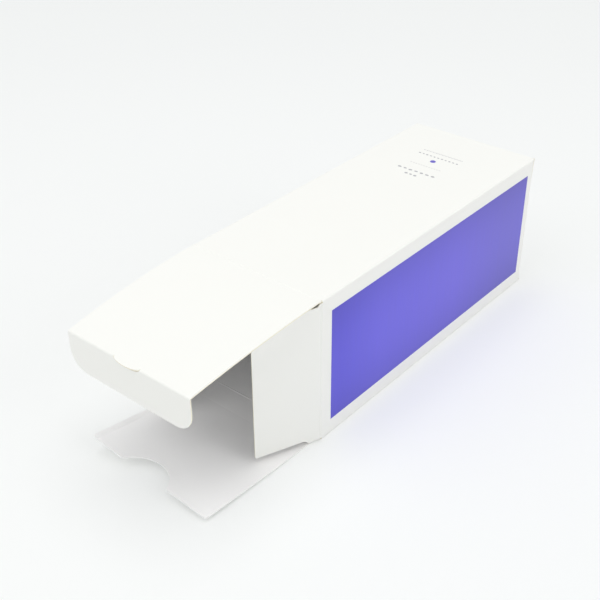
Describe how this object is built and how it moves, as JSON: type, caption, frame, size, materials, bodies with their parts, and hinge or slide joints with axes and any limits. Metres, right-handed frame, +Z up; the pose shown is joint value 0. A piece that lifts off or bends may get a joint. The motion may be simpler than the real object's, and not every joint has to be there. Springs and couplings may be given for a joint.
{
  "type": "shampoo packaging box",
  "caption": "Open tuck-end folding carton lying on its side: square tube of white card, hinged lid with tuck, dust flaps, inner flap with thumb notch and a plain colour field.",
  "frame": {"origin": "middle of the outside of the wall that the box lies on, halfway between the mouth's crease and the closed end", "axes": "+Z up, +Y along the box from the open mouth to the closed end, +X towards the wall with the colour field"},
  "size_m": [0.065, 0.2213, 0.065],
  "materials": {
    "coated_card": "white clay-coated folding board with a satin varnish",
    "card_inside": "uncoated inside of the board, matt and slightly cool",
    "violet_print": "blue-violet offset print under a satin varnish",
    "grey_print": "thin grey offset print"
  },
  "bodies": {
    "carton": {"carton_body": "coated_card", "side_print_panel": "violet_print", "print_dot": "violet_print", "print_row_far": "grey_print", "print_row_fourth": "grey_print", "print_row_third": "grey_print", "print_row_second": "grey_print", "print_row_near": "grey_print"},
    "lid": {"lid_flap": "coated_card"},
    "right_dust": {"right_dust_flap": "coated_card"},
    "left_dust": {"left_dust_flap": "coated_card"},
    "inner": {"inner_flap": "card_inside"},
    "base": {"base_flap": "coated_card"}
  },
  "joints": [
    {"name": "lid_crease", "type": "hinge", "parent": "carton", "child": "lid", "pos_m": [0, -0.0775, 0.06475], "axis": [-1, 0, 0], "range_deg": [0, 125]},
    {"name": "right_dust_crease", "type": "hinge", "parent": "carton", "child": "right_dust", "pos_m": [0.03225, -0.0775, 0.0325], "axis": [0, 0, -1], "range_deg": [-110, 70]},
    {"name": "left_dust_crease", "type": "hinge", "parent": "carton", "child": "left_dust", "pos_m": [-0.03225, -0.0775, 0.0325], "axis": [0, 0, 1], "range_deg": [-105, 75]},
    {"name": "inner_crease", "type": "hinge", "parent": "carton", "child": "inner", "pos_m": [0, -0.0765, 0.00025], "axis": [-1, 0, 0], "range_deg": [-3.7, 0.7]},
    {"name": "base_crease", "type": "hinge", "parent": "carton", "child": "base", "pos_m": [0, 0.07725, 0.06475], "axis": [1, 0, 0], "range_deg": [0, 210]}
  ]
}
